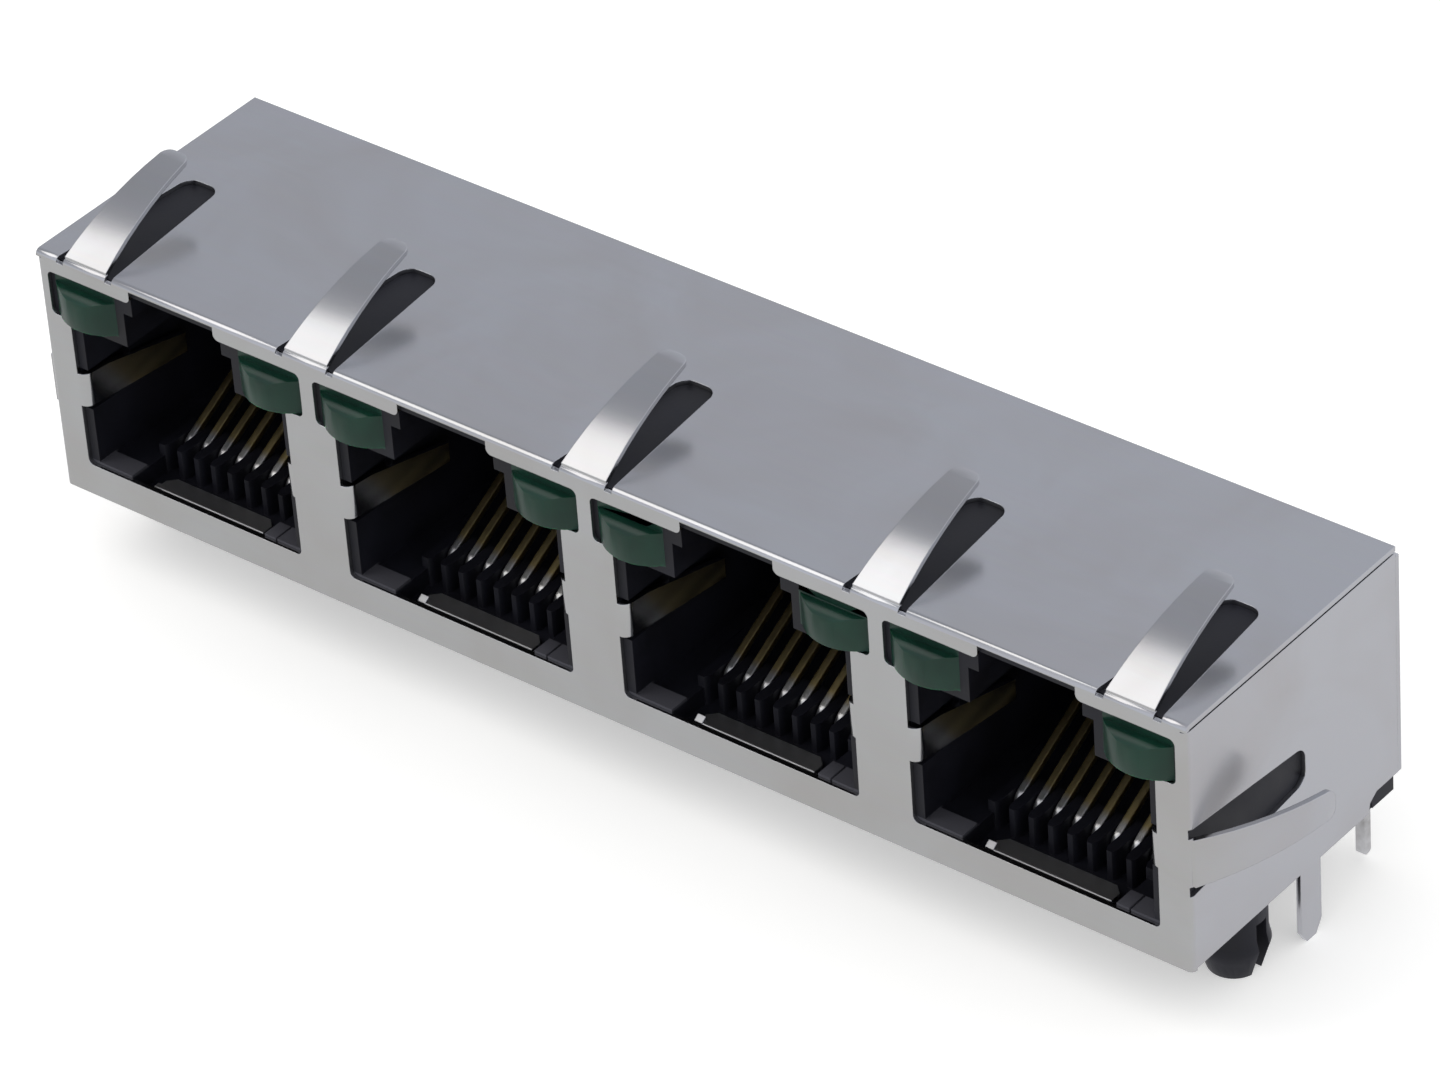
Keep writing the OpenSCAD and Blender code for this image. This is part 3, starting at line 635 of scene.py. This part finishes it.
@dataclass
class FoldedLips(SubAssembly):
    """The flattened edge of the front sheet's lip in each port, with its raised left corner.

    The leaf is the flat part and the ear is the corner that the blanking tool left raised. The ear's
    x is measured from the port's middle. In port 1 the ear stands up least.
    """

    pitch_mm: float = 15.7
    half_width_mm: float = 3.2
    front_mm: float = 0.93
    back_mm: float = 1.95
    under_mm: float = 0.98
    top_mm: float = 1.17
    corner_mm: float = 0.4
    coined_mm: float = 0.05
    coined_angle: float = 33.0
    ear_x_mm: Span = (-3.38, -2.93)
    ear_long_mm: float = 0.32
    ear_rise_mm: tuple[float, ...] = (0.02, 0.2, 0.2, 0.2)
    edge_mm: float = 0.02
    clear_mm: float = 0.1

    def slab(self, shape: bmesh.types.BMesh, low: Vector, high: Vector) -> list[bmesh.types.BMVert]:
        """Adds a block between two corners.

        Args:
            shape: The mesh that takes the block.
            low: The corner with the smallest coordinates, in millimetres.
            high: The opposite corner.

        Returns:
            The block's corners.
        """
        size = high - low
        middle = Matrix.Translation((low + high) * mm(0.5))
        stretch = Matrix.Diagonal((mm(size.x), mm(size.y), mm(size.z), 1.0))
        return bmesh.ops.create_cube(shape, size=1.0, matrix=middle @ stretch)["verts"]

    def coin(self, shape: bmesh.types.BMesh) -> None:
        """Presses a sloping land along the front upper edge.

        Args:
            shape: The mesh with the flat leaf.
        """
        angle = math.radians(self.coined_angle)
        cut = bmesh.ops.bisect_plane(
            shape,
            geom=shape.verts[:] + shape.edges[:] + shape.faces[:],
            plane_co=(0.0, mm(self.front_mm + self.coined_mm), mm(self.top_mm)),
            plane_no=(0.0, -math.sin(angle), math.cos(angle)),
            clear_outer=True,
        )
        rim = [part for part in cut["geom_cut"] if isinstance(part, bmesh.types.BMEdge)]
        bmesh.ops.edgeloop_fill(shape, edges=rim)

    def leaf(self, shape: bmesh.types.BMesh, middle_mm: float) -> None:
        """Forms the flat leaf of one port, with cut corners at the back and a coined front edge.

        Args:
            shape: The mesh that takes the leaf.
            middle_mm: The port's middle along X.
        """
        low = Vector((middle_mm - self.half_width_mm, self.front_mm, self.under_mm))
        high = Vector((middle_mm + self.half_width_mm, self.back_mm, self.top_mm))
        self.slab(shape, low, high)
        upright = [
            edge
            for edge in shape.edges
            if abs(edge.verts[0].co.z - edge.verts[1].co.z) > mm(self.clear_mm)
            and edge.verts[0].co.y > mm(self.front_mm + self.clear_mm)
        ]
        bmesh.ops.bevel(
            shape,
            geom=upright,
            offset=mm(self.corner_mm),
            segments=1,
            profile=BEVEL_PROFILE,
            affect="EDGES",
            material=-1,
        )
        self.coin(shape)

    def ear(self, shape: bmesh.types.BMesh, middle_mm: float, rise_mm: float) -> None:
        """Forms the raised left corner, whose top slopes to the front.

        Args:
            shape: The mesh that takes the corner.
            middle_mm: The port's middle along X.
            rise_mm: How far its back edge stands up.
        """
        low = Vector((middle_mm + self.ear_x_mm[0], self.front_mm, self.under_mm))
        high = Vector((middle_mm + self.ear_x_mm[1], self.front_mm + self.ear_long_mm, self.top_mm))
        raised = [
            corner
            for corner in self.slab(shape, low, high)
            if corner.co.z > mm(self.under_mm + self.clear_mm)
            and corner.co.y > mm(self.front_mm + self.clear_mm)
        ]
        bmesh.ops.translate(shape, verts=raised, vec=(0.0, 0.0, mm(rise_mm)))

    def add_pieces(self) -> None:
        """Makes one lip edge for each port and lets it ride with the jack."""
        for port in PORTS:
            middle_mm = (port - (PORT_COUNT + 1) / 2) * self.pitch_mm
            shape = bmesh.new()
            self.leaf(shape, middle_mm)
            self.ear(shape, middle_mm, self.ear_rise_mm[port - 1])
            bmesh.ops.bevel(
                shape,
                geom=shape.edges[:],
                offset=mm(self.edge_mm),
                segments=2,
                profile=BEVEL_PROFILE,
                affect="EDGES",
                material=-1,
            )
            bmesh.ops.recalc_face_normals(shape, faces=shape.faces[:])
            mesh = bpy.data.meshes.new(f"lip_edge_{port}")
            shape.to_mesh(mesh)
            shape.free()
            mesh.materials.append(self.finish.ready())
            piece = bpy.data.objects.new(f"lip_edge_{port}", mesh)
            bpy.context.scene.collection.objects.link(piece)
            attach(piece, RELEASE_BODY)
            log.info("%s: made %s with %d faces", self.title, piece.name, len(mesh.polygons))


@dataclass
class Studio:
    """Camera, floor, surrounding light and one soft lamp.

    The camera's place, turn and lens are those of the photograph, worked out from the straight edges
    of the front sheet. Reflections show the floor and the sky at levels of their own, called mirrored.
    """

    camera_mm: Triple = (179.086, -197.262, 201.706)
    camera_turn: Triple = (54.0396, 3.548, 38.4368)
    lens_mm: float = 191.9
    sensor_mm: float = 36.0
    seen_mm: Span = (10.0, 8000.0)
    floor_z_mm: float = -3.6
    floor_half_mm: float = 1500.0
    paper_tint: str = "#EDEDEC"
    paper_lift: float = 0.42
    mirrored_share: float = 0.8
    mirrored_near: str = "#E4E4E3"
    mirrored_far: str = "#E8E8EE"
    mirrored_y_mm: Span = (-4.0, 6.0)
    mirrored_x_mm: Span = (-40.0, 22.0)
    mirrored_level: Span = (0.96, 1.04)
    mirrored_sky: tuple[Span, ...] = (
        (0.0, 0.95), (0.35, 0.9), (0.5, 0.73), (0.6, 0.65), (0.74, 0.54), (0.88, 0.46), (1.0, 0.43)
    )
    mirrored_sky_shift: float = 0.53
    sky_strength: float = 0.85
    sky_tint: str = "#F1F4FF"
    lamp_direction: Triple = (-0.53, -0.33, 0.78)
    lamp_distance_mm: float = 700.0
    lamp_side_mm: float = 400.0
    lamp_aim_mm: Triple = (0.0, 7.0, 6.0)
    lamp_radiance: float = 1.44
    lamp_tint: str = "#FFFBF6"

    def camera(self) -> None:
        """Sets up the camera at the photograph's viewing angle."""
        data = bpy.data.cameras.new("camera")
        data.lens = self.lens_mm
        data.sensor_width = self.sensor_mm
        data.clip_start = mm(self.seen_mm[0])
        data.clip_end = mm(self.seen_mm[1])
        camera = bpy.data.objects.new("camera", data)
        bpy.context.scene.collection.objects.link(camera)
        turn = Euler([math.radians(angle) for angle in self.camera_turn]).to_matrix().to_4x4()
        camera.matrix_world = Matrix.Translation([mm(value) for value in self.camera_mm]) @ turn
        bpy.context.scene.camera = camera

    def floor(self) -> None:
        """Lays a pale floor that the jack's tails and pegs stand on."""
        shape = bmesh.new()
        bmesh.ops.create_grid(
            shape,
            x_segments=1,
            y_segments=1,
            size=mm(self.floor_half_mm),
            matrix=Matrix.Translation((0, 0, mm(self.floor_z_mm))),
        )
        mesh = bpy.data.meshes.new("floor")
        shape.to_mesh(mesh)
        shape.free()
        floor = bpy.data.objects.new("floor", mesh)
        bpy.context.scene.collection.objects.link(floor)
        mesh.materials.append(self.paper())

    def paper(self) -> Material:
        """Makes the floor's matt white paper, which shows as white to the camera and keeps the shadow.

        A camera below the floor sees through it, so the jack's underside can be looked at.

        Returns:
            The material.
        """
        material = bpy.data.materials.new("white_paper")
        material.use_nodes = True
        tree = material.node_tree
        tree.nodes.clear()
        path = add_node(tree, "ShaderNodeLightPath")
        lift = add_node(tree, "ShaderNodeMath", {"operation": "MULTIPLY"}, {
            0: path.outputs["Is Camera Ray"],
            1: self.paper_lift,
        })
        matt = add_node(tree, "ShaderNodeBsdfPrincipled", inputs={
            "Base Color": linear(self.paper_tint),
            "Roughness": 0.9,
            "Specular IOR Level": 0.1,
            "Emission Color": grey(1.0),
            "Emission Strength": lift.outputs["Value"],
        })
        share = add_node(tree, "ShaderNodeMath", {"operation": "MULTIPLY"}, {
            0: path.outputs["Is Glossy Ray"],
            1: self.mirrored_share,
        })
        both = add_node(tree, "ShaderNodeMixShader", inputs={
            0: share.outputs["Value"],
            1: matt.outputs["BSDF"],
            2: self.mirrored_floor(tree),
        })
        side = add_node(tree, "ShaderNodeNewGeometry")
        under = add_node(tree, "ShaderNodeMath", {"operation": "MULTIPLY"}, {
            0: path.outputs["Is Camera Ray"],
            1: side.outputs["Backfacing"],
        })
        clear = add_node(tree, "ShaderNodeBsdfTransparent")
        shown = add_node(tree, "ShaderNodeMixShader", inputs={
            0: under.outputs["Value"],
            1: both.outputs["Shader"],
            2: clear.outputs["BSDF"],
        })
        add_node(tree, "ShaderNodeOutputMaterial", inputs={"Surface": shown.outputs["Shader"]})
        return material

    def mirrored_floor(self, tree: NodeTree) -> NodeSocket:
        """Makes the floor as reflections show it: cooler towards the back and brighter to the right.

        Args:
            tree: The paper's tree.

        Returns:
            The shader's socket.
        """
        place = add_node(tree, "ShaderNodeTexCoord")
        axes = add_node(tree, "ShaderNodeSeparateXYZ", inputs={"Vector": place.outputs["Object"]})
        back = add_node(tree, "ShaderNodeMapRange", inputs={
            "Value": axes.outputs["Y"],
            "From Min": mm(self.mirrored_y_mm[0]),
            "From Max": mm(self.mirrored_y_mm[1]),
        })
        shade = add_node(tree, "ShaderNodeMix", {"data_type": "RGBA"}, {
            0: back.outputs["Result"],
            6: linear(self.mirrored_near),
            7: linear(self.mirrored_far),
        })
        along = add_node(tree, "ShaderNodeMapRange", inputs={
            "Value": axes.outputs["X"],
            "From Min": mm(self.mirrored_x_mm[0]),
            "From Max": mm(self.mirrored_x_mm[1]),
            "To Min": self.mirrored_level[0],
            "To Max": self.mirrored_level[1],
        })
        even = add_node(tree, "ShaderNodeEmission", inputs={
            "Color": shade.outputs[2],
            "Strength": along.outputs["Result"],
        })
        return even.outputs["Emission"]

    def sky(self) -> None:
        """Fills the studio with even light and shows white to the camera."""
        world = bpy.data.worlds.new("studio")
        bpy.context.scene.world = world
        world.use_nodes = True
        tree = world.node_tree
        tree.nodes.clear()
        path = add_node(tree, "ShaderNodeLightPath")
        seen = add_node(tree, "ShaderNodeMix", {"data_type": "RGBA"}, {
            0: path.outputs["Is Glossy Ray"],
            6: grey(self.sky_strength),
            7: self.mirrored_walls(tree),
        })
        shown = add_node(tree, "ShaderNodeMix", {"data_type": "RGBA"}, {
            0: path.outputs["Is Camera Ray"],
            6: seen.outputs[2],
            7: grey(1.0),
        })
        light = add_node(tree, "ShaderNodeBackground", inputs={"Color": shown.outputs[2], "Strength": 1.0})
        add_node(tree, "ShaderNodeOutputWorld", inputs={"Surface": light.outputs["Background"]})

    def mirrored_walls(self, tree: NodeTree) -> NodeSocket:
        """Makes the sky as reflections show it: cool, bright low down and to the right, darker overhead.

        Args:
            tree: The world's tree.

        Returns:
            The colour's socket.
        """
        direction = add_node(tree, "ShaderNodeTexCoord")
        axes = add_node(tree, "ShaderNodeSeparateXYZ", inputs={"Vector": direction.outputs["Generated"]})
        aside = add_node(tree, "ShaderNodeMath", {"operation": "ADD"}, {
            0: axes.outputs["X"],
            1: self.mirrored_sky_shift,
        })
        height = add_node(tree, "ShaderNodeMath", {"operation": "SUBTRACT"}, {
            0: axes.outputs["Z"],
            1: aside.outputs["Value"],
        })
        walls = add_node(tree, "ShaderNodeValToRGB", inputs={"Fac": height.outputs["Value"]}, stops=[
            (position, grey(level)) for position, level in self.mirrored_sky
        ])
        cool = add_node(tree, "ShaderNodeMix", {"data_type": "RGBA", "blend_type": "MULTIPLY"}, {
            0: 1.0,
            6: walls.outputs["Color"],
            7: linear(self.sky_tint),
        })
        return cool.outputs[2]

    def lamp(self) -> None:
        """Hangs a square soft lamp that faces the jack, with a radiance at which 1 is white."""
        data = bpy.data.lights.new("key_softbox", "AREA")
        data.shape = "SQUARE"
        data.size = mm(self.lamp_side_mm)
        data.energy = self.lamp_radiance * math.pi * mm(self.lamp_side_mm) ** 2
        data.color = linear(self.lamp_tint)[:3]
        lamp = bpy.data.objects.new("key_softbox", data)
        bpy.context.scene.collection.objects.link(lamp)
        towards = Vector(self.lamp_direction).normalized()
        aim = Vector([mm(value) for value in self.lamp_aim_mm])
        lamp.location = aim + towards * mm(self.lamp_distance_mm)
        lamp.rotation_euler = towards.to_track_quat("Z", "Y").to_euler()

    def build(self) -> None:
        """Sets up the camera, the floor and the light."""
        self.camera()
        self.floor()
        self.sky()
        self.lamp()
        log.info("studio: camera, floor, sky and lamp are in place")


def main() -> None:
    """Sets up the studio and then builds the sub-assemblies in order."""
    logging.basicConfig(level=logging.INFO, format="%(message)s")
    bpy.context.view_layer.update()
    Studio().build()
    sheet = TinPlatedSheet()
    flattened = TinPlatedSheet("tin_plated_steel_flattened_matt", roughness=(0.36, 0.46))
    Shield("shield", sheet, Softening(width_mm=0.05)).dress()
    FoldedLips("folded lips", flattened).add_pieces()
    Mouldings("mouldings", MouldedPolyester(), Softening(width_mm=0.035)).dress()
    Contacts("contacts", PlatedContact(), Softening(width_mm=0.09)).dress()
    Lights("lights", TintedResin(), Softening(width_mm=0.08, segments=3)).dress()
    LightLeads("light leads", TinnedLead(), Softening(width_mm=0.05)).dress()
    bpy.context.scene.view_settings.view_transform = "Standard"


if __name__ == "__main__":
    main()
